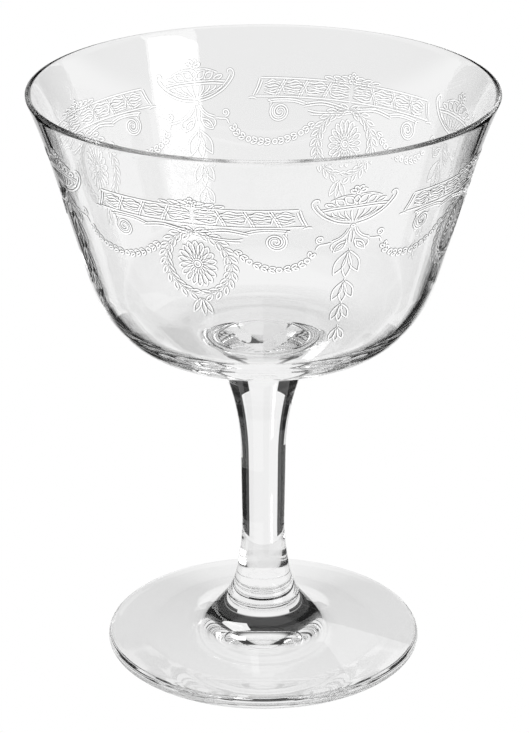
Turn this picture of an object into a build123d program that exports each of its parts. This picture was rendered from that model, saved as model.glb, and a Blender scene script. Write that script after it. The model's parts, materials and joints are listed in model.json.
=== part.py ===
from build123d import *
import os
from math import acos, asin, atan2, cos, degrees, hypot, radians, sin

# A stemmed champagne saucer in clear glass: a bowl, a round stem and a disc foot, heat-joined at two
# seams. Millimetres, +Z up. The foot rests on Z = 0 and every piece is turned about the Z axis.
# A "tilt" is an angle in degrees between an outline and the vertical: 0 is upright, 90 is level.

# Bowl
rim_diameter = 95.0        # widest size of the round lip
bowl_depth = 54.8          # top of the lip to the level underside
lip_thickness = 1.1        # the lip is fully rounded, so this is also its diameter
lip_curve_radius = 127.0   # the wall opens a little more towards the lip
lip_turn = 6.3             # degrees by which it opens
underside_diameter = 36.2  # where the outer underside becomes level
shoulder_radius = 28.0     # upper, slower bend from the wall to the underside
heel_radius = 15.5         # lower, quicker bend
heel_tilt = 42.0           # tilt at which the outer shoulder hands over to the heel
shoulder_wall = 1.6        # glass at the shoulder: both skins bend about the same centre there
floor_thickness = 3.4      # glass under the middle of the bowl
inner_heel_radius = 14.0

# Seams: each is one level disc that belongs to both pieces
neck_seam_diameter = 18.8
neck_seam_tilt = 24.0
neck_fillet_radius = 5.5   # bend from the level underside down into the neck
base_seam_diameter = 15.2
base_seam_tilt = 31.0

# Stem
stem_length = 54.0         # seam to seam
upper_waist_diameter = 9.5
stem_taper = 0.9           # the shaft narrows slightly on its way down
base_ease_tilt = 14.0      # tilt at which the slow flare hands over to the foot's quick flare

# Foot
foot_diameter = 66.6
foot_height = 11.0         # resting plane to the base seam
foot_edge_thickness = 2.6  # the edge is fully rounded
foot_flare_radius = 13.0   # hollow curve from the base seam out to the disc
rest_ring_inner_diameter = 48.0
underside_hollow = 1.3     # the middle of the foot stands clear of the table

lip_radius = lip_thickness / 2
edge_radius = foot_edge_thickness / 2
neck_seam_radius = neck_seam_diameter / 2
base_seam_radius = base_seam_diameter / 2
neck_seam_height = foot_height + stem_length
underside_height = neck_seam_height + neck_fillet_radius * (1 - sin(radians(neck_seam_tilt)))
rim_height = underside_height + bowl_depth
lip_centre = (rim_diameter / 2 - lip_radius, rim_height - lip_radius)


def unit(angle):
    """A point one unit from the origin, at an angle from the X axis."""
    return cos(radians(angle)), sin(radians(angle))


def step(point, distance, angle):
    """The point that lies a distance from another, at an angle from the X axis."""
    across, up = unit(angle)
    return point[0] + distance * across, point[1] + distance * up


def arc(centre, radius, start, end):
    """A round stretch of outline, between two angles from the X axis."""
    return CenterArc(centre, radius, start, end - start)


def turned(edges):
    """The solid of one closed outline of radius and height, turned about the Z axis."""
    return revolve(Plane.XZ * make_face(edges), Axis.Z)


def bowl_wall(side, shoulder_centre, shoulder, heel, level, lip_curve):
    """The lip's flare, the straight wall, the shoulder and the heel, ending level at a given height.

    side is 1 for the outer skin and -1 for the inner one: the skins leave opposite sides of the lip.
    The wall's tilt is the one that lets a straight wall touch both the lip's flare and the shoulder.
    """
    across = lip_centre[0] - shoulder_centre[0]
    up = lip_centre[1] - shoulder_centre[1]
    reach = shoulder + lip_curve * (1 - cos(radians(lip_turn))) - side * lip_radius * cos(radians(lip_turn))
    tilt = degrees(acos(reach / hypot(across, up)) - atan2(up, across))
    lip_tilt = tilt + lip_turn
    lip_point = step(lip_centre, side * lip_radius, -lip_tilt)
    handover = degrees(asin((shoulder_centre[1] - level - heel) / (shoulder - heel)))
    heel_centre = step(shoulder_centre, shoulder - heel, -handover)
    flare = arc(step(lip_point, lip_curve, -lip_tilt), lip_curve, 180 - lip_tilt, 180 - tilt)
    bend = arc(shoulder_centre, shoulder, -tilt, -handover)
    turn = arc(heel_centre, heel, -handover, -90)
    return [flare, Line(flare @ 1, bend @ 0), bend, turn]


def make_bowl():
    heel_centre = (underside_diameter / 2, underside_height + heel_radius)
    shoulder_centre = step(heel_centre, shoulder_radius - heel_radius, 180 - heel_tilt)
    floor_height = underside_height + floor_thickness
    outer = bowl_wall(1, shoulder_centre, shoulder_radius, heel_radius, underside_height, lip_curve_radius)
    inner = bowl_wall(-1, shoulder_centre, shoulder_radius - shoulder_wall, inner_heel_radius,
                      floor_height, lip_curve_radius + lip_thickness)
    lip = ThreePointArc(outer[0] @ 0, (lip_centre[0], rim_height), inner[0] @ 0)
    fillet_centre = (neck_seam_radius + neck_fillet_radius * cos(radians(neck_seam_tilt)),
                     underside_height - neck_fillet_radius)
    neck = arc(fillet_centre, neck_fillet_radius, 90, 180 - neck_seam_tilt)
    underside = Line(outer[-1] @ 1, neck @ 0)
    seam = Line(neck @ 1, (0, neck_seam_height))
    axis = Line((0, neck_seam_height), (0, floor_height))
    floor = Line((0, floor_height), inner[-1] @ 1)
    return turned([lip, *outer, underside, neck, seam, axis, floor, *inner])


def make_stem():
    """Slow flare under the bowl, tapered shaft, slow flare, then the start of the foot's quick flare."""
    upper_waist_radius = upper_waist_diameter / 2
    neck_curve = (neck_seam_radius - upper_waist_radius) / (cos(radians(stem_taper))
                                                            - cos(radians(neck_seam_tilt)))
    neck_centre = step((neck_seam_radius, neck_seam_height), neck_curve, -neck_seam_tilt)
    neck = arc(neck_centre, neck_curve, 180 - neck_seam_tilt, 180 - stem_taper)

    flare_centre = step((base_seam_radius, foot_height), foot_flare_radius, base_seam_tilt)
    quick = arc(flare_centre, foot_flare_radius, 180 + base_ease_tilt, 180 + base_seam_tilt)
    # The slow flare's radius follows from the shaft: it has to end on the shaft's slanted line.
    ease = quick @ 0
    slant = (-sin(radians(stem_taper)), -cos(radians(stem_taper)))
    normal = (cos(radians(stem_taper)), -sin(radians(stem_taper)))
    shaft_top = neck @ 1
    gap = (ease.X - shaft_top.X) * normal[0] + (ease.Y - shaft_top.Y) * normal[1]
    slow_radius = gap / (1 - cos(radians(base_ease_tilt + stem_taper)))
    slow_centre = step((ease.X, ease.Y), slow_radius, base_ease_tilt)
    slow = arc(slow_centre, slow_radius, 180 - stem_taper, 180 + base_ease_tilt)
    shaft = Line(shaft_top, slow @ 0)
    top = Line((0, neck_seam_height), neck @ 0)
    bottom = Line(quick @ 1, (0, foot_height))
    axis = Line((0, foot_height), (0, neck_seam_height))
    return turned([top, neck, shaft, slow, quick, bottom, axis])


def make_foot():
    """Hollow flare from the seam, sloping disc, rounded edge, level resting ring, hollow underside."""
    flare_centre = step((base_seam_radius, foot_height), foot_flare_radius, base_seam_tilt)
    edge_centre = (foot_diameter / 2 - edge_radius, edge_radius)
    across = flare_centre[0] - edge_centre[0]
    up = flare_centre[1] - edge_centre[1]
    # The disc's top touches both the flare and the edge, and this is its normal's angle.
    disc_angle = degrees(atan2(up, across) - acos((foot_flare_radius + edge_radius) / hypot(across, up)))
    flare = arc(flare_centre, foot_flare_radius, 180 + base_seam_tilt, 180 + disc_angle)
    edge = arc(edge_centre, edge_radius, disc_angle, -90)
    top = Line((0, foot_height), flare @ 0)
    disc = Line(flare @ 1, edge @ 0)
    ring = Line(edge @ 1, (rest_ring_inner_diameter / 2, 0))
    hollow = ThreePointArc(ring @ 1, (0, underside_hollow), (-rest_ring_inner_diameter / 2, 0))
    hollow = hollow.trim(0, 0.5)
    axis = Line(hollow @ 1, (0, foot_height))
    return turned([top, flare, disc, edge, ring, hollow, axis])


os.makedirs("parts", exist_ok=True)
pieces = {"bowl": make_bowl(), "stem": make_stem(), "foot": make_foot()}
for name, piece in pieces.items():
    export_step(piece, f"parts/{name}.step")
    print(name, "volume", round(piece.volume), "mm3")
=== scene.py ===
import json
import math
import bpy
import numpy as np
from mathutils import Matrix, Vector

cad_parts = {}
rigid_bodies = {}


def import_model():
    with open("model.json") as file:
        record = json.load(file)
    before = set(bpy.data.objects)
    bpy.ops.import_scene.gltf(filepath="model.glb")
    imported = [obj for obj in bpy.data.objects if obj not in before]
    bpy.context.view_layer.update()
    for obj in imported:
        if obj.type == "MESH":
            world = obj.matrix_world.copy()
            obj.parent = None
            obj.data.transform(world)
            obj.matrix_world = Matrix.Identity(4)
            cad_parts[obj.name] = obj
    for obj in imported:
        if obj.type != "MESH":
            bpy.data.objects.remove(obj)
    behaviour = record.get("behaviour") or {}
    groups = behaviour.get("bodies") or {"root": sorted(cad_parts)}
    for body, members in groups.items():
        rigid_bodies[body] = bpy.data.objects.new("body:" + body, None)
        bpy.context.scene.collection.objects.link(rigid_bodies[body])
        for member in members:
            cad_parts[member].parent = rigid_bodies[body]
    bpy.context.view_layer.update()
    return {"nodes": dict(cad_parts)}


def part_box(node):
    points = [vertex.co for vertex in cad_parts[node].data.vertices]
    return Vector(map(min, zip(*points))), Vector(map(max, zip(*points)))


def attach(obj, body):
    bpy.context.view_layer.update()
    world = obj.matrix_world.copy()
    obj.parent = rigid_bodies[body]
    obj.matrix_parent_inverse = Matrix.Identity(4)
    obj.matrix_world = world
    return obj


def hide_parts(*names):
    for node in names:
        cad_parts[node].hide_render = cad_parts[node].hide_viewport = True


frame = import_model()
bowlLow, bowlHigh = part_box("bowl")
stemLow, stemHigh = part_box("stem")
footLow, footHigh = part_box("foot")
mm = 0.001
print("frame loaded:", ", ".join(sorted(frame["nodes"])))

# Shader maths: a Value wraps one socket, and arithmetic on it adds the Math nodes.


class Value:
    def __init__(self, sheet, socket):
        self.sheet, self.socket = sheet, socket

    def math(self, operation, *others):
        return self.sheet.node("ShaderNodeMath", {"operation": operation}, dict(enumerate((self, *others))))

    def __add__(self, other):
        return self.math("ADD", other)

    def __radd__(self, other):
        return self.math("ADD", other)

    def __sub__(self, other):
        return self.math("SUBTRACT", other)

    def __rsub__(self, other):
        return self.sheet.node("ShaderNodeMath", {"operation": "SUBTRACT"}, {0: other, 1: self})

    def __mul__(self, other):
        return self.math("MULTIPLY", other)

    def __rmul__(self, other):
        return self.math("MULTIPLY", other)


class Sheet:
    # One node tree: node() makes any node from its type, its settings and its sockets' values or links.
    def __init__(self, owner):
        owner.use_nodes = True
        self.tree = owner.node_tree
        self.tree.nodes.clear()

    def node(self, kind, settings=None, sockets=None, out=0):
        made = self.tree.nodes.new(kind)
        for name, setting in (settings or {}).items():
            setattr(made, name, setting)
        for key, value in (sockets or {}).items():
            if isinstance(value, Value):
                self.tree.links.new(value.socket, made.inputs[key])
            else:
                made.inputs[key].default_value = value
        return Value(self, made.outputs[out]) if len(made.outputs) else made

    def mixColour(self, factor, first, second):
        # Inputs 6 and 7 and output 2 are the Mix node's colour sockets.
        return self.node("ShaderNodeMix", {"data_type": "RGBA"}, {0: factor, 6: first, 7: second}, 2)

    def noise(self, grains):
        # Noise between 0 and 1, with so many grains in a metre of the piece.
        place = self.node("ShaderNodeTexCoord", out="Object")
        return self.node("ShaderNodeTexNoise", {}, {"Vector": place, "Scale": grains, "Detail": 1.0})


def newMaterial(name):
    material = bpy.data.materials.new(name)
    return material, Sheet(material)


glassLook = {
    "tint": (1, 1, 1, 1),
    "ior": 1.5,
    "ripples": 90,           # in a metre
    "rippleDepth": 0.02 * mm,
    "rippleStrength": 0.2,
}


def clearGlass(name):
    # Smooth clear glass. Its normal leans by the slope of a slow noise, as on fire-polished glass.
    look = glassLook
    material, sheet = newMaterial(name)
    bump = sheet.node("ShaderNodeBump", {}, {
        "Height": sheet.noise(look["ripples"]), "Strength": look["rippleStrength"],
        "Distance": look["rippleDepth"]})
    glass = sheet.node("ShaderNodeBsdfPrincipled", {}, {
        "Base Color": look["tint"], "Roughness": 0.0, "IOR": look["ior"], "Transmission Weight": 1.0,
        "Normal": bump})
    sheet.node("ShaderNodeOutputMaterial", {}, {"Surface": glass})
    return material


def fusedSeam(name):
    # Nothing to see: the two gathers of glass are one where they were joined.
    material, sheet = newMaterial(name)
    through = sheet.node("ShaderNodeBsdfTransparent")
    sheet.node("ShaderNodeOutputMaterial", {}, {"Surface": through})
    return material


etchLook = {
    # Painted light: the crest colour is white and also glows as a painted highlight, and the flank colour is
    # a painted dark shade.
    "paintedLight": (1, 1, 1, 1),
    "paintedShade": (0.02, 0.02, 0.02, 1),
    "roughness": 0.1,        # the least, to which the grain adds up to the spread
    "roughnessSpread": 0.1,
    "grain": 9000,           # frost grains in a metre
    "ior": 1.12,             # low, because frost scatters light back instead of bending it
    "paintedGlow": 0.19,         # painted glow on the crest and underside, standing in for light that the frost throws back from all sides
}


def etchedGlassWithPaintedLight(name):
    # Frosted line with painted light: its colour runs from a painted dark shade on the flanks to white on
    # the crest, and the crest and underside glow as a painted highlight, both by the line's own per-face
    # attribute; the frost is a fine noise in the roughness.
    look = etchLook
    material, sheet = newMaterial(name)
    paintedLight = sheet.node("ShaderNodeAttribute", {"attribute_name": "paintedLight"}, out="Fac")
    glass = sheet.node("ShaderNodeBsdfPrincipled", {}, {
        "Base Color": sheet.mixColour(paintedLight, look["paintedShade"], look["paintedLight"]),
        "Roughness": sheet.noise(look["grain"]) * look["roughnessSpread"] + look["roughness"],
        "IOR": look["ior"], "Transmission Weight": 1.0,
        "Emission Color": sheet.mixColour(paintedLight, (0, 0, 0, 1), look["paintedLight"]),
        "Emission Strength": look["paintedGlow"]})
    sheet.node("ShaderNodeOutputMaterial", {}, {"Surface": glass})
    return material


# Outlines, as rows of (radius, height) in metres.


def unit(angle):
    # A point one unit from the origin, at an angle in degrees from the level axis.
    return np.array([math.cos(math.radians(angle)), math.sin(math.radians(angle))])


def arc(centre, radius, start, end, points):
    # centre + radius * (cos a, sin a), for evenly spaced angles a from start to end.
    a = np.radians(np.linspace(start, end, points))
    return np.asarray(centre) + radius * np.stack([np.cos(a), np.sin(a)], axis=1)


def straight(start, end, points):
    # start + t * (end - start), for t between 0 and 1, without the two ends.
    t = np.linspace(0, 1, points + 2)[1:-1, None]
    return np.asarray(start) + t * (np.asarray(end) - np.asarray(start))


bowlSizes = {
    "lipThickness": 1.1 * mm,
    "lipCurve": 127 * mm,
    "lipTurn": 6.3,
    "undersideRadius": 18.1 * mm,
    "shoulder": 28 * mm,
    "heel": 15.5 * mm,
    "heelTilt": 42,
    "shoulderWall": 1.6 * mm,
    "floor": 3.4 * mm,
    "innerHeel": 14 * mm,
    "neckRadius": 9.4 * mm,
    "neckTilt": 24,
    "neckFillet": 5.5 * mm,
    "around": 256,           # columns of faces round the bowl, and rows of them on each stretch
    "rows": {"floor": 12, "turnIn": 24, "bend": 34, "wall": 20, "flare": 16, "lip": 15, "under": 4,
             "neck": 14, "seam": 6},
}


def bowlSkin(side, lipCentre, shoulderCentre, shoulder, heel, level, lipCurve):
    # Lip flare, straight wall, shoulder and heel, each tangent to the next. The wall's tilt t solves
    # (lip - shoulder centre) . (cos t, -sin t) = shoulder radius + the flare's offset from the wall.
    sizes, rows = bowlSizes, bowlSizes["rows"]
    lipRadius = sizes["lipThickness"] / 2
    across, up = lipCentre - shoulderCentre
    turn = math.radians(sizes["lipTurn"])
    reach = shoulder + lipCurve * (1 - math.cos(turn)) - side * lipRadius * math.cos(turn)
    tilt = math.degrees(math.acos(reach / math.hypot(across, up)) - math.atan2(up, across))
    lipTilt = tilt + sizes["lipTurn"]
    lipPoint = lipCentre + side * lipRadius * unit(-lipTilt)
    handover = math.degrees(math.asin((shoulderCentre[1] - level - heel) / (shoulder - heel)))
    heelCentre = shoulderCentre + (shoulder - heel) * unit(-handover)
    flareCentre = lipPoint + lipCurve * unit(-lipTilt)
    flare = arc(flareCentre, lipCurve, 180 - lipTilt, 180 - tilt, rows["flare"])
    bend = arc(shoulderCentre, shoulder, -tilt, -handover, rows["bend"])
    turnIn = arc(heelCentre, heel, -handover, -90, rows["turnIn"])
    wall = straight(flare[-1], bend[0], rows["wall"])
    return np.concatenate([flare, wall, bend, turnIn[1:]]), lipTilt


def bowlOutline():
    # From the middle of the inner floor over the lip and down the outside to the neck seam, then in
    # to the axis. Also gives the outer skin alone, and the row where the seam starts.
    sizes, rows = bowlSizes, bowlSizes["rows"]
    lipRadius = sizes["lipThickness"] / 2
    lipCentre = np.array([bowlHigh[0] - lipRadius, bowlHigh[2] - lipRadius])
    neckTilt = math.radians(sizes["neckTilt"])
    underside = bowlLow[2] + sizes["neckFillet"] * (1 - math.sin(neckTilt))
    heelCentre = np.array([sizes["undersideRadius"], underside + sizes["heel"]])
    shoulderCentre = heelCentre + (sizes["shoulder"] - sizes["heel"]) * unit(180 - sizes["heelTilt"])
    floorHeight = underside + sizes["floor"]
    outer, outerTilt = bowlSkin(1, lipCentre, shoulderCentre, sizes["shoulder"], sizes["heel"],
                                underside, sizes["lipCurve"])
    inner, innerTilt = bowlSkin(-1, lipCentre, shoulderCentre, sizes["shoulder"] - sizes["shoulderWall"],
                                sizes["innerHeel"], floorHeight, sizes["lipCurve"] + sizes["lipThickness"])
    lip = arc(lipCentre, lipRadius, 180 - innerTilt, -outerTilt, rows["lip"])[1:-1]
    fillet = sizes["neckFillet"]
    filletCentre = (sizes["neckRadius"] + fillet * math.cos(neckTilt), underside - fillet)
    neck = arc(filletCentre, fillet, 90, 180 - sizes["neckTilt"], rows["neck"])
    under = straight(outer[-1], neck[0], rows["under"])
    floor = straight((0, floorHeight), inner[-1], rows["floor"])
    skin = np.concatenate([[(0, floorHeight)], floor, inner[::-1], lip, outer, under, neck])
    seam = straight(neck[-1], (0, bowlLow[2]), rows["seam"])
    return np.concatenate([skin, seam, [(0, bowlLow[2])]]), outer, len(skin) - 1


stemSizes = {
    "upperWaist": 4.75 * mm,
    "taper": 0.9,
    "baseRadius": 7.6 * mm,
    "baseTilt": 31,
    "easeTilt": 14,
    "footFlare": 13 * mm,
    "around": 160,
    "rows": {"seam": 6, "neck": 44, "shaft": 16, "slow": 32, "quick": 14},
}


def stemOutline():
    # Seam disc, slow flare, tapered shaft, slow flare, quick flare, seam disc. Also gives the rows where
    # the side starts and ends.
    sizes, rows, bowl = stemSizes, stemSizes["rows"], bowlSizes
    top, bottom = stemHigh[2], stemLow[2]
    taper, neckTilt = math.radians(sizes["taper"]), math.radians(bowl["neckTilt"])
    neckCurve = (bowl["neckRadius"] - sizes["upperWaist"]) / (math.cos(taper) - math.cos(neckTilt))
    neckCentre = np.array([bowl["neckRadius"], top]) + neckCurve * unit(-bowl["neckTilt"])
    neck = arc(neckCentre, neckCurve, 180 - bowl["neckTilt"], 180 - sizes["taper"], rows["neck"])
    flareCentre = np.array([sizes["baseRadius"], bottom]) + sizes["footFlare"] * unit(sizes["baseTilt"])
    quick = arc(flareCentre, sizes["footFlare"], 180 + sizes["easeTilt"], 180 + sizes["baseTilt"],
                rows["quick"])
    gap = (quick[0] - neck[-1]) @ np.array([math.cos(taper), -math.sin(taper)])
    slowCurve = gap / (1 - math.cos(math.radians(sizes["easeTilt"] + sizes["taper"])))
    slowCentre = quick[0] + slowCurve * unit(sizes["easeTilt"])
    slow = arc(slowCentre, slowCurve, 180 - sizes["taper"], 180 + sizes["easeTilt"], rows["slow"])
    shaft = straight(neck[-1], slow[0], rows["shaft"])
    head = np.concatenate([[(0, top)], straight((0, top), neck[0], rows["seam"])])
    side = np.concatenate([neck, shaft, slow, quick[1:]])
    tail = np.concatenate([straight(side[-1], (0, bottom), rows["seam"]), [(0, bottom)]])
    return np.concatenate([head, side, tail]), len(head), len(head) + len(side) - 1


footSizes = {
    "edge": 1.3 * mm,
    "restRing": 24 * mm,
    "hollow": 1.3 * mm,
    "around": 256,
    "rows": {"seam": 6, "flare": 40, "disc": 20, "edge": 24, "ring": 5, "hollow": 30},
}


def footOutline():
    # Seam disc, hollow flare, sloping disc, rounded edge, resting ring, hollow underside. Also gives the
    # row where the flare starts.
    sizes, rows, stem = footSizes, footSizes["rows"], stemSizes
    top, bottom = footHigh[2], footLow[2]
    flareCentre = np.array([stem["baseRadius"], top]) + stem["footFlare"] * unit(stem["baseTilt"])
    edgeCentre = np.array([footHigh[0] - sizes["edge"], bottom + sizes["edge"]])
    across, up = flareCentre - edgeCentre
    lean = math.acos((stem["footFlare"] + sizes["edge"]) / math.hypot(across, up))
    discAngle = math.degrees(math.atan2(up, across) - lean)
    flare = arc(flareCentre, stem["footFlare"], 180 + stem["baseTilt"], 180 + discAngle, rows["flare"])
    edge = arc(edgeCentre, sizes["edge"], discAngle, -90, rows["edge"])
    disc = straight(flare[-1], edge[0], rows["disc"])
    ring = straight(edge[-1], (sizes["restRing"], bottom), rows["ring"])
    curve = (sizes["restRing"] ** 2 + sizes["hollow"] ** 2) / (2 * sizes["hollow"])
    half = math.degrees(math.asin(sizes["restRing"] / curve))
    hollow = arc((0, bottom + sizes["hollow"] - curve), curve, 90 - half, 90, rows["hollow"])
    head = np.concatenate([[(0, top)], straight((0, top), flare[0], rows["seam"])])
    return np.concatenate([head, flare, disc, edge, ring, hollow]), len(head)


def newPiece(name, points, faces, materials):
    mesh = bpy.data.meshes.new(name)
    mesh.from_pydata(points.tolist(), [], faces)
    for material in materials:
        mesh.materials.append(material)
    piece = bpy.data.objects.new(name, mesh)
    bpy.context.scene.collection.objects.link(piece)
    return piece


def turnedPiece(name, outline, around, seamBefore, seamAfter, materials):
    # Point (i, j) is (r_i cos a_j, r_i sin a_j, z_i): outline point i, turned by the angle a_j. The two
    # ends of the outline lie on the axis and are one point each, closed by fans. Rows up to seamBefore
    # and from seamAfter on get the second material.
    body = outline[1:-1]
    rows = len(body)
    a = np.linspace(0, 2 * math.pi, around, endpoint=False)
    turned = np.stack([np.outer(body[:, 0], np.cos(a)), np.outer(body[:, 0], np.sin(a)),
                       np.repeat(body[:, 1:], around, axis=1)], axis=2).reshape(-1, 3)
    points = np.concatenate([turned, [(0, 0, outline[0, 1]), (0, 0, outline[-1, 1])]])
    j = np.arange(around)
    k = (j + 1) % around
    i = np.arange(rows - 1)[:, None]
    quads = np.stack([i * around + j, (i + 1) * around + j, (i + 1) * around + k, i * around + k], axis=2)
    tip, end, lastRow = rows * around, rows * around + 1, (rows - 1) * around
    first = np.stack([np.full(around, tip), j, k], axis=1)
    last = np.stack([np.full(around, end), lastRow + k, lastRow + j], axis=1)
    faces = first.tolist() + quads.reshape(-1, 4).tolist() + last.tolist()
    piece = newPiece(name, points, faces, materials)
    span = np.arange(rows + 1)
    seam = (span < seamBefore) | (span >= seamAfter)
    piece.data.polygons.foreach_set("material_index", np.repeat(seam, around).astype(np.int32))
    piece.data.polygons.foreach_set("use_smooth", np.ones((rows + 1) * around, dtype=bool))
    piece.data.update()
    return piece


glass = [clearGlass("clearGlass"), fusedSeam("fusedSeam")]
outline, outerSkin, seamRow = bowlOutline()
bowl = turnedPiece("bowl_glass", outline, bowlSizes["around"], 0, seamRow, glass)
outline, sideStart, sideEnd = stemOutline()
stem = turnedPiece("stem_glass", outline, stemSizes["around"], sideStart, sideEnd, glass)
outline, discStart = footOutline()
foot = turnedPiece("foot_glass", outline, footSizes["around"], discStart, len(outline), glass)
for piece, node in ((bowl, "bowl"), (stem, "stem"), (foot, "foot")):
    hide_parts(node)
    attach(piece, "root")
print("glass turned: bowl, stem, foot")

# The etched band. A stroke is a list of (x, y) in millimetres on the bowl's wall, x to the right as seen
# from outside and y up the wall, from the middle of its own motif. The sizes of its ridge are in
# millimetres too.

etch = {
    "halfWidth": 0.27,
    "tipWidth": 0.3,         # share of the width that is left at the ends of an open stroke
    "height": 0.10,
    "crest": 0.66,           # share of the width that is flat on top
    "basePaintedLight": 0.8,         # how much painted light the underside gets, between the painted-shade flanks and the painted-highlight crest
    "gap": 0.008,            # between the wall and the underside, so that they don't share a surface
    "step": 0.28,            # between two points along a stroke
    "fineness": {"curve": 12, "oval": 24, "turn": 28, "leaf": 12},   # points of a path before it is stepped
    "urnAngles": (93.5, 182, 270, 5.5),   # where the motifs' middles stand round the bowl, and how high
    "wreathAngles": (51.9, 138, 223.8, 313.5),
    "urnHeight": 107.8 * mm,
    "wreathHeight": 99.6 * mm,
    "barHeight": 110.2 * mm,
}


def smooth(*corners):
    # Catmull-Rom curve through the corners: a cubic between two corners that leaves each one along the
    # line joining its neighbours.
    p = np.array(corners, dtype=float)
    p = np.concatenate([2 * p[:1] - p[1:2], p, 2 * p[-1:] - p[-2:-1]])
    t = np.linspace(0, 1, etch["fineness"]["curve"], endpoint=False)[None, :, None]
    a, b, c, d = (p[k: len(p) - 3 + k][:, None] for k in range(4))
    square, cube = 2 * a - 5 * b + 4 * c - d, 3 * b - a - 3 * c + d
    curve = 0.5 * (2 * b + (c - a) * t + square * t ** 2 + cube * t ** 3).reshape(-1, 2)
    return np.concatenate([curve, p[-2:-1]])


def oval(x, y, acrossRadius, upRadius):
    # Closed ring: centre + (across cos a, up sin a).
    a = np.linspace(0, 2 * math.pi, etch["fineness"]["oval"], endpoint=False)
    return np.stack([x + acrossRadius * np.cos(a), y + upRadius * np.sin(a)], axis=1)


def spiral(x, y, outerRadius, innerRadius, start, turns):
    # Centre + r (cos a, sin a), where a goes round from start and r shrinks evenly from outer to inner.
    t = np.linspace(0, 1, int(etch["fineness"]["turn"] * abs(turns)) + 2)
    a = math.radians(start) + 2 * math.pi * turns * t
    r = outerRadius + (innerRadius - outerRadius) * t
    return np.stack([x + r * np.cos(a), y + r * np.sin(a)], axis=1)


def leaf(start, end, width, blunt=1.0):
    # Closed leaf: start + t (end - start), set off to each side by width / 2 * sin(pi t ** blunt).
    start, end = np.array(start, dtype=float), np.array(end, dtype=float)
    t = np.linspace(0, 1, etch["fineness"]["leaf"])
    side = np.array([start[1] - end[1], end[0] - start[0]]) / np.hypot(*(end - start))
    out = (width / 2 * np.sin(math.pi * t ** blunt))[:, None] * side
    middle = start + t[:, None] * (end - start)
    return np.concatenate([middle + out, (middle - out)[-2:0:-1]])


def along(path, spacing):
    # Points and directions at even steps of length along a path.
    step = np.hypot(*np.diff(path, axis=0).T)
    length = np.concatenate([[0], np.cumsum(step)])
    wanted = np.linspace(0, length[-1], max(3, int(round(length[-1] / spacing)) + 1))
    points = np.stack([np.interp(wanted, length, path[:, k]) for k in range(2)], axis=1)
    ahead = np.gradient(points, axis=0)
    return points, ahead / np.hypot(*ahead.T)[:, None]


def mirrored(strokes):
    # The strokes and their images in the line x = 0. A stroke is (points, closed).
    return strokes + [(points * (-1, 1), closed) for points, closed in strokes]


def opened(*paths):
    # Strokes with two ends.
    return [(path, False) for path in paths]


def closedUp(*paths):
    # Strokes that come back to their start.
    return [(path, True) for path in paths]


urnDesign = {
    "lobes": 5,              # on each side
    "drops": ((-6.1, 6.1), (-13.1, 5.0), (-18.6, 4.1), (-24.3, 3.4)),   # top and length of each sprig
}


def urnStrokes():
    # A shallow urn with lobes fanning from its knob, volute handles, fruit and a flower, a leafy foot,
    # and a pendant of sprigs below it.
    half = opened(
        smooth((0.5, 0.1), (3.4, 0.75), (6.3, 2.3), (8.2, 4.2), (8.9, 5.6), (8.5, 6.5), (7.7, 6.4),
               (7.7, 5.7)),
        smooth((0.7, 0.75), (3.3, 1.35), (5.7, 2.6), (7.4, 4.3), (8.1, 5.4)),
        smooth((0, 4.35), (4, 4.3), (7.2, 3.95)),
        smooth((0, 3.8), (3.8, 3.75), (6.6, 3.45)),
    )
    for k in range(urnDesign["lobes"]):
        top, foot = 0.75 + 1.35 * k, 0.22 + 0.28 * k
        half += opened(smooth((foot, 0.7 + 0.12 * k), (0.5 * foot + 0.42 * top, 1.5 + 0.05 * k),
                              (0.1 * foot + 0.88 * top, 2.6), (top, 3.55 - 0.06 * k)))
    half += closedUp(leaf((0.5, 4.8), (2.5, 6.6), 1.5), leaf((2.3, 4.7), (4.3, 6.1), 1.3),
                     leaf((4.3, 4.6), (6.4, 5.3), 0.8))
    half += opened(smooth((0.6, 6.9), (3.0, 6.8), (5.4, 5.9)))
    half += closedUp(leaf((0.4, 7.6), (1.7, 8.1), 0.8), leaf((0.2, 7.9), (0.8, 9.0), 0.75))
    half += opened(
        smooth((0.35, -0.5), (0.9, -1.8), (2.0, -3.0), (3.7, -3.9)),
        smooth((0.85, -0.7), (1.4, -1.8), (2.5, -2.8), (4.0, -3.4)),
        smooth((0.3, -1.2), (0.45, -2.6), (0.35, -4.2)),
        smooth((0.95, -3.0), (0.9, -3.9), (1.3, -4.9)),
        smooth((3.7, -3.9), (3.9, -4.8), (3.4, -5.6)),
        spiral(6.3, -2.7, 0.85, 0.25, 250, 1.4),
        smooth((4.0, -3.7), (5.2, -3.9), (6.4, -4.1), (6.9, -5.2)),
    )
    half += closedUp(leaf((0.8, -3.6), (3.3, -6.0), 1.5), leaf((1.3, -4.2), (2.9, -5.6), 0.5))
    whole = mirrored(half)
    whole += closedUp(oval(0, -0.2, 0.38, 0.3), oval(0, 7.5, 0.35, 0.35), leaf((0, 4.9), (0, 6.7), 1.2))
    for top, length in urnDesign["drops"]:
        tip = 0.42 * length
        whole += closedUp(leaf((0, top - 0.3), (0, top - length), 0.3 * length, 1.2))
        whole += mirrored(closedUp(leaf((0.2, top), (tip, top - 0.85 * length), 0.34 * length, 1.1)))
        whole += opened(smooth((0, top + 0.9), (0.03, top + 0.4), (0, top)))
    return whole


wreathDesign = {
    "across": 6.5,           # half the ring's width and height
    "up": 7.3,
    "bough": (100, 266),     # from and to which angle it runs
    "leafSpacing": 1.75,
    "leafLength": 1.9,
    "leafSpread": 0.95,
    "leafWidth": 0.75,
    "petals": 18,
    "petalWidth": 1.15,
}


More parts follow.
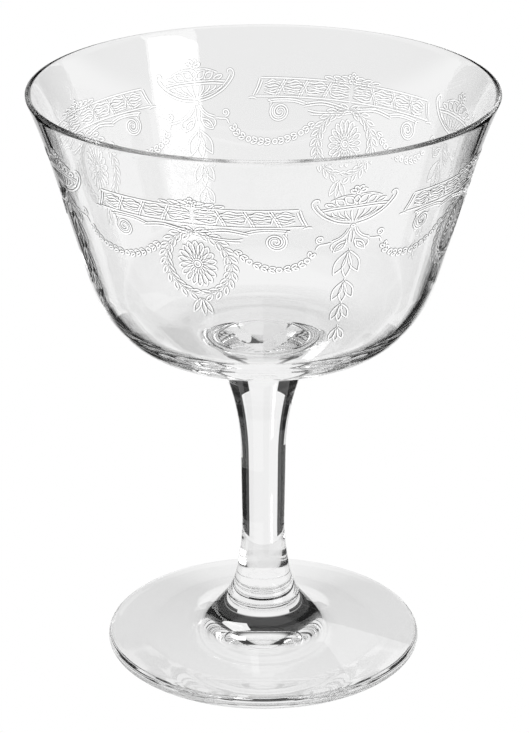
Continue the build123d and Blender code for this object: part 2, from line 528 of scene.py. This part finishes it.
def wreathStrokes():
    # Two laurel boughs that meet below a many-petalled flower, with three leaves under them.
    design = wreathDesign
    a = np.radians(np.linspace(*design["bough"], 60))
    bough = np.stack([-design["across"] * np.cos(a), design["up"] * np.sin(a)], axis=1)
    points, ahead = along(bough, design["leafSpacing"])
    half = opened(bough)
    side = ahead[:, ::-1] * (1, -1)
    for point, forward, out in zip(points[:-1], ahead[:-1], side[:-1]):
        for turn in (-1, 1):
            start = point + 0.25 * turn * out
            end = start + design["leafLength"] * forward + design["leafSpread"] * turn * out
            half += closedUp(leaf(start, end, design["leafWidth"]))
    half += closedUp(leaf((0.3, 7.3), (2.8, 6.6), 0.9), leaf((0.2, 7.7), (2.2, 8.4), 0.7))
    half += closedUp(leaf((0.2, -8.2), (1.9, -11.6), 1.1))
    whole = mirrored(half)
    for k in range(design["petals"]):
        turn = unit(90 + 360 / design["petals"] * k)
        whole += closedUp(leaf(turn * (0.95, 1.15), turn * (3.85, 5.3), design["petalWidth"], 1.9))
    whole += closedUp(oval(0, 0, 0.55, 0.6), oval(0, 0, 0.95, 1.1), leaf((0, -8.4), (0.3, -12.2), 0.9))
    return whole


barDesign = {
    "reach": 20.6,           # half its length
    "high": 1.95,            # half its height
    "ties": (0, 5.2, 10.6, 15.6, 19.9),
    "reeds": (-1.4, -0.85, -0.28, 0.3, 0.86, 1.4),
    "reedWave": 0.17,
    "petals": 5,
}


def barStrokes():
    # A bundle of reeds between two rules, tied by crossed ribbons, with leaves and a small flower over
    # its middle, loose ribbon below it and a scroll under each end.
    design = barDesign
    reach, high, ties = design["reach"], design["high"], design["ties"]
    half = opened(
        smooth((0, high), (reach / 2, high), (reach, high + 0.05)),
        smooth((0, -high), (reach / 2, -high), (reach + 0.9, -high)),
        smooth((reach - 0.5, high - 0.4), (reach - 0.1, 0), (reach + 0.5, -high + 0.4)),
        smooth((reach + 0.1, high), (reach + 0.5, 0), (reach + 1.2, -high + 0.1)),
        smooth((reach + 0.2, -high - 0.5), (reach + 1.3, -high - 0.2), (reach + 2.2, -high - 0.35)),
    )
    for left, right in zip(ties[:-1], ties[1:]):
        t = np.linspace(0.06, 0.94, 14)
        for k, level in enumerate(design["reeds"]):
            fan = level * (0.62 + 0.38 * np.sin(math.pi * t))
            wave = design["reedWave"] * np.sin(2 * math.pi * t * (1 + k % 2) + 2.1 * k + left)
            half += opened(np.stack([left + t * (right - left), fan + wave], axis=1))
    for tie in ties[1:-1]:
        ribbons = (
            ((-0.9, high - 0.1), (-0.2, 0.4), (0.3, -0.5), (0.8, -high)),
            ((-0.35, high - 0.1), (0.25, 0.45), (0.75, -0.4), (1.3, -high)),
            ((0.7, 1.2), (-0.1, 0.1), (-0.6, -1.2)),
        )
        for ribbon in ribbons:
            half += opened(smooth(*ribbon) + (tie, 0))
    for start, end, width in (((0.5, 2.5), (2.7, 3.1), 0.9), ((2.2, 2.4), (4.6, 3.0), 0.8),
                              ((4.3, 2.3), (6.6, 2.7), 0.65), ((1.6, 1.3), (3.9, 2.0), 0.6)):
        half += closedUp(leaf(start, end, width))
    half += opened(
        smooth((0, -3.6), (3.0, -3.0), (6.5, -2.6), (10.5, -3.3)),
        smooth((0, -4.1), (3.2, -3.55), (6.6, -3.15), (10.6, -3.9)),
        smooth((9.6, -3.2), (12.6, -2.5), (16.5, -2.55), (18.6, -2.9)),
        smooth((9.9, -3.6), (12.8, -2.95), (16.3, -3.0), (18.2, -3.3)),
        smooth((18.6, -2.6), (17.7, -3.1), (17.6, -4.2)),
    )
    half += opened(spiral(15.5, -5.2, 2.25, 0.35, 50, -2.1), spiral(15.5, -5.2, 1.75, 0.25, 35, -1.5))
    whole = mirrored(half)
    whole += opened(smooth((-6.5, -2.5), (-2.5, -3.3), (2.0, -4.4), (7.0, -4.9), (9.6, -4.6)),
                    smooth((-6.0, -3.0), (-2.4, -3.8), (2.0, -4.9), (7.0, -5.4), (9.0, -5.4)))
    whole += closedUp(oval(0, 3.0, 0.45, 0.45))
    for k in range(design["petals"]):
        turn = unit(90 + 360 / design["petals"] * k)
        whole += closedUp(oval(0.85 * turn[0], 3.0 + 0.8 * turn[1], 0.35, 0.35))
    return whole


swagDesign = {
    "start": (8.0, 3.3),     # beside and above the wreath's middle
    "end": 6.6,              # beside the urn's middle
    "sag": ((0, 0), (0.16, -2.2), (0.42, -3.9), (0.72, -3.6), (0.92, -1.9), (1, 0.4)),   # share of span, y
    "leafSpacing": 1.45,
    "leafLength": 1.25,
    "leafSpread": 0.5,
    "leafWidth": 0.6,
    "beadEvery": 4,          # one place in so many has a bead instead of a leaf pair
    "bead": 0.5,
}


def swagStrokes(span):
    # A hanging chain of leaf pairs and beads, from the wreath's side to the urn's curl, span across.
    design = swagDesign
    path = smooth(*((share * span, drop) for share, drop in design["sag"]))
    points, ahead = along(path, design["leafSpacing"])
    side = ahead[:, ::-1] * (1, -1)
    strokes = []
    for k in range(len(points) - 1):
        middle, forward, out = points[k], ahead[k], side[k]
        if k % design["beadEvery"] == 2:
            strokes += closedUp(oval(*middle, design["bead"], design["bead"]))
            continue
        for turn in (-1, 1):
            start = middle - 0.5 * forward + 0.1 * turn * out
            end = start + design["leafLength"] * forward + design["leafSpread"] * turn * out
            strokes += closedUp(leaf(start, end, design["leafWidth"]))
    return strokes


def wallPlace(angle, height, points):
    # Where (x, y) lies on the outer skin: y is length up the wall from the given height, and x is turned
    # into an angle by the radius there. Gives places and the skin's outward normals.
    skin = outerSkin
    length = np.concatenate([[0], np.cumsum(np.hypot(*np.diff(skin, axis=0).T))])
    middle = np.interp(-height, -skin[:, 1], length)
    down = middle - points[:, 1] * mm
    radius, level = np.interp(down, length, skin[:, 0]), np.interp(down, length, skin[:, 1])
    slope = np.gradient(skin, axis=0) / np.gradient(length)[:, None]
    fall = np.stack([np.interp(down, length, slope[:, k]) for k in range(2)], axis=1)
    turn = math.radians(angle) + points[:, 0] * mm / radius
    outward = np.stack([-fall[:, 1] * np.cos(turn), -fall[:, 1] * np.sin(turn), fall[:, 0]], axis=1)
    place = np.stack([radius * np.cos(turn), radius * np.sin(turn), level], axis=1)
    return place, outward / np.linalg.norm(outward, axis=1)[:, None]


def etchedPiece(name, strokes, angle, height, material):
    # Each stroke carries a low flat-topped ridge. Corner j at point i is place_i + width_i * (across_j *
    # right_i + up_j * outward_i). The five corners are the two feet with the two edges of the crest
    # between them, and the middle of the base. An open stroke narrows at its ends. The per-face painted
    # light attribute is 1 on the crest (painted white glow), less on the base, and 0 on the flanks and the
    # caps (painted dark shade).
    look = etch
    across = np.array([-1, -look["crest"], look["crest"], 1, 0]) * look["halfWidth"] * mm
    up = np.array([0, look["height"], look["height"], 0, 0]) * mm
    corners = len(across)
    tip = look["tipWidth"]
    places, faces, paintedLightValues, count = [], [], [], 0
    for path, closed in strokes:
        path = np.concatenate([path, path[:1]]) if closed else path
        points, _ = along(path, look["step"])
        points = points[:-1] if closed else points
        place, outward = wallPlace(angle, height, points)
        if closed:
            ahead = np.roll(place, -1, axis=0) - np.roll(place, 1, axis=0)
            width = np.ones(len(points))
        else:
            ahead = np.gradient(place, axis=0)
            last = len(points) - 1
            width = np.interp(np.arange(len(points)), (0, 1, last - 1, last), (tip, 1, 1, tip))
        right = np.cross(ahead, outward)
        right /= np.linalg.norm(right, axis=1)[:, None]
        base = place + outward * look["gap"] * mm
        section = across[:, None] * right[:, None] + up[:, None] * outward[:, None]
        places.append((base[:, None] + width[:, None, None] * section).reshape(-1, 3))
        n = len(points)
        i = np.arange(n if closed else n - 1)[:, None]
        j = np.arange(corners)
        here, there = i * corners, (i + 1) % n * corners
        k = (j + 1) % corners
        quads = np.stack([here + j, here + k, there + k, there + j], axis=2) + count
        faces += quads.reshape(-1, 4).tolist()
        # painted light per face: 0 for the painted dark shade on the flanks, 1 for the painted white glow on
        # the crest, a lesser glow on the base
        paintedLightValues += [0, 1, 0, look["basePaintedLight"], look["basePaintedLight"]] * len(i)
        if not closed:
            cap = np.arange(corners) + count
            faces += [cap[::-1].tolist(), (cap + (n - 1) * corners).tolist()]
            paintedLightValues += [0, 0]
        count += corners * n
    piece = newPiece(name, np.concatenate(places), faces, [material])
    paintedLight = piece.data.attributes.new("paintedLight", "FLOAT", "FACE")
    paintedLight.data.foreach_set("value", np.array(paintedLightValues, dtype=np.float32))
    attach(piece, "root")


# The etched lines' material: frost in the roughness, with painted shade on the flanks and a painted glow on
# the crest.
frostWithPaintedLight = etchedGlassWithPaintedLight("etchedGlassWithPaintedLight")
urn, wreath, bar = urnStrokes(), wreathStrokes(), barStrokes()
for k, angle in enumerate(etch["urnAngles"]):
    etchedPiece("etched_urn_%d" % (k + 1), urn, angle, etch["urnHeight"], frostWithPaintedLight)
for k, angle in enumerate(etch["wreathAngles"]):
    etchedPiece("etched_wreath_%d" % (k + 1), wreath, angle, etch["wreathHeight"], frostWithPaintedLight)
    etchedPiece("etched_bar_%d" % (k + 1), bar, angle, etch["barHeight"], frostWithPaintedLight)
swagRadius = float(np.interp(-etch["wreathHeight"], -outerSkin[:, 1], outerSkin[:, 0])) / mm
beside, above = swagDesign["start"]
for k, angle in enumerate(etch["wreathAngles"]):
    for n, side in enumerate((-1, 1)):
        gaps = [side * (a - angle) % 360 for a in etch["urnAngles"]]
        span = math.radians(min(gaps)) * swagRadius - beside - swagDesign["end"]
        swag = [(points * (side, 1) + (side * beside, above), closed) for points, closed in swagStrokes(span)]
        etchedPiece("etched_swag_%d" % (2 * k + n + 1), swag, angle, etch["wreathHeight"], frostWithPaintedLight)
etched = [piece for piece in bpy.data.objects if piece.name.startswith("etched")]
print("band etched:", sum(len(piece.data.polygons) for piece in etched), "faces")

# The studio: white floor and backdrop, lights at the right, and dark cards and a dark band of sky that
# only the glass sees. Angles of cards and lights run anticlockwise from where the camera stands.

stage = {
    "azimuth": 160,          # the camera stands at (sin, -cos) of it
    "cameraDistance": 531.4 * mm,
    "cameraHeight": 281.5 * mm,
    "pitch": 22.37,
    "lens": 135.9,
    "sensor": 36,
    "shift": 0.0016,
    "clipStart": 0.01,
    "bounces": 128,          # enough for light to get through every wall of the glass
    "glossyBounces": 64,
    "floorReach": 20,
    "floorGap": 0.2 * mm,    # the floor lies this far below the foot
    "backdrop": 0.90,        # how bright the white is when it is seen by way of the glass
    "sky": 0.015,            # the same, in the dark band above the backdrop
    "bandStart": (0.17, 0.27),   # the band fades in between these heights, 0 level and 1 overhead
    "bandEnd": (0.70, 0.80),
}

cards = {
    "strength": 0.02,
    "floor": ((102, 120, 100), (120, 150, 1500), (210, 233, 1500), (233, 260, 120), (282, 310, 100),
              (0, 28, 100)),     # from and to which angle, and how far out in millimetres
    "floorNear": 40 * mm,
    "floorLift": 0.1 * mm,
    "upright": ((-45, -17), (69, 85), (120, 164), (196, 245)),
    "uprightDistance": 1.5,
    "uprightTop": 0.35,
}

lights = {
    "softbox": {"strength": 2.8, "angles": (36, 65), "distance": 1.4, "top": 0.85},
    "floorLight": {"angles": (36, 62), "near": 450 * mm, "far": 1400 * mm},
    "footLight": {"strength": 5.0, "angles": (38, 50), "near": 42 * mm, "far": 75 * mm},
    "backSoftbox": {"angles": (144, 169), "distance": 1.0, "bottom": 0.60, "top": 0.92},
    "floorLift": 0.15 * mm,
}

facing = stage["azimuth"] - 90   # the angle at which the camera stands


def glow(name, strength, throughGlass=None):
    # A plain white light of one strength, or of another strength when it isn't seen directly.
    material, sheet = newMaterial(name)
    if throughGlass is not None:
        isCamera = sheet.node("ShaderNodeLightPath", out="Is Camera Ray")
        strength = isCamera * (strength - throughGlass) + throughGlass
    light = sheet.node("ShaderNodeEmission", {}, {"Color": (1, 1, 1, 1), "Strength": strength})
    sheet.node("ShaderNodeOutputMaterial", {}, {"Surface": light})
    return material


def stagePanel(name, corners, material, seen=False):
    # One flat face, which the camera sees only by way of the glass unless seen is set.
    panel = newPiece(name, np.array(corners, dtype=float), [list(range(len(corners)))], [material])
    panel.visible_camera = seen
    panel.visible_shadow = False
    return panel


def ringCorners(angles, near, far, height, points=9):
    # A flat piece of a ring round the axis: near and far radius times (cos a, sin a), from one angle to
    # the other.
    a = np.radians(np.linspace(*angles, points) + facing)
    way = np.stack([np.cos(a), np.sin(a)], axis=1)
    level = np.full((points, 1), height)
    return np.concatenate([np.hstack([near * way, level]), np.hstack([far * way, level])[::-1]])


def uprightCorners(angles, distance, low, high):
    # An upright rectangle that faces the axis and spans two angles as seen from it.
    start, end = angles
    middle, half = facing + (start + end) / 2, (end - start) / 2
    way, side = unit(middle) * distance, unit(middle + 90) * distance * math.tan(math.radians(half))
    return [(*(way - side), low), (*(way + side), low), (*(way + side), high), (*(way - side), high)]


floorLevel = footLow[2] - stage["floorGap"]
white = glow("studioWhite", 1.0, stage["backdrop"])
dark = glow("darkCard", cards["strength"])
lamp = glow("softboxWhite", lights["softbox"]["strength"])
reach = stage["floorReach"]
stagePanel("floor", [(-reach, -reach, floorLevel), (reach, -reach, floorLevel), (reach, reach, floorLevel),
                     (-reach, reach, floorLevel)], white, True)
cardLevel = floorLevel + cards["floorLift"]
for k, (start, end, far) in enumerate(cards["floor"]):
    stagePanel("floorCard%d" % k, ringCorners((start, end), cards["floorNear"], far * mm, cardLevel), dark)
for k, angles in enumerate(cards["upright"]):
    corners = uprightCorners(angles, cards["uprightDistance"], floorLevel, cards["uprightTop"])
    stagePanel("uprightCard%d" % k, corners, dark)
light = lights["softbox"]
stagePanel("softbox", uprightCorners(light["angles"], light["distance"], floorLevel, light["top"]), lamp)
lightLevel = floorLevel + lights["floorLift"]
light = lights["floorLight"]
stagePanel("floorLight", ringCorners(light["angles"], light["near"], light["far"], lightLevel), lamp)
light = lights["footLight"]
footLight = stagePanel("footLight", ringCorners(light["angles"], light["near"], light["far"], lightLevel),
                       glow("footLightWhite", light["strength"]))
footLight.visible_transmission = False
light = lights["backSoftbox"]
stagePanel("backSoftbox", uprightCorners(light["angles"], light["distance"], light["bottom"], light["top"]),
           white)

scene = bpy.context.scene
scene.world = bpy.data.worlds.new("studio")
sheet = Sheet(scene.world)
isCamera = sheet.node("ShaderNodeLightPath", out="Is Camera Ray")
direction = sheet.node("ShaderNodeTexCoord", out="Generated")
upward = sheet.node("ShaderNodeSeparateXYZ", {}, {0: direction}, "Z")
rising, falling = (
    sheet.node("ShaderNodeMapRange", {"interpolation_type": "SMOOTHSTEP"},
               {"Value": upward, "From Min": low, "From Max": high})
    for low, high in (stage["bandStart"], stage["bandEnd"]))
byGlass = stage["backdrop"] - (rising - falling) * (stage["backdrop"] - stage["sky"])
back = sheet.node("ShaderNodeBackground", {}, {
    "Color": (1, 1, 1, 1), "Strength": isCamera.math("MAXIMUM", byGlass)})
sheet.node("ShaderNodeOutputWorld", {}, {"Surface": back})

scene.view_settings.view_transform = "Standard"
scene.cycles.max_bounces = stage["bounces"]
scene.cycles.transmission_bounces = stage["bounces"]
scene.cycles.glossy_bounces = stage["glossyBounces"]
scene.cycles.transparent_max_bounces = stage["glossyBounces"]

camera = bpy.data.cameras.new("camera")
camera.lens = stage["lens"]
camera.sensor_width = stage["sensor"]
camera.shift_x = stage["shift"]
camera.clip_start = stage["clipStart"]
viewer = bpy.data.objects.new("camera", camera)
scene.collection.objects.link(viewer)
heading = math.radians(stage["azimuth"])
viewer.location = (math.sin(heading) * stage["cameraDistance"], -math.cos(heading) * stage["cameraDistance"],
                   stage["cameraHeight"])
viewer.rotation_euler = (math.radians(90 - stage["pitch"]), 0, heading)
scene.camera = viewer
print("studio set")
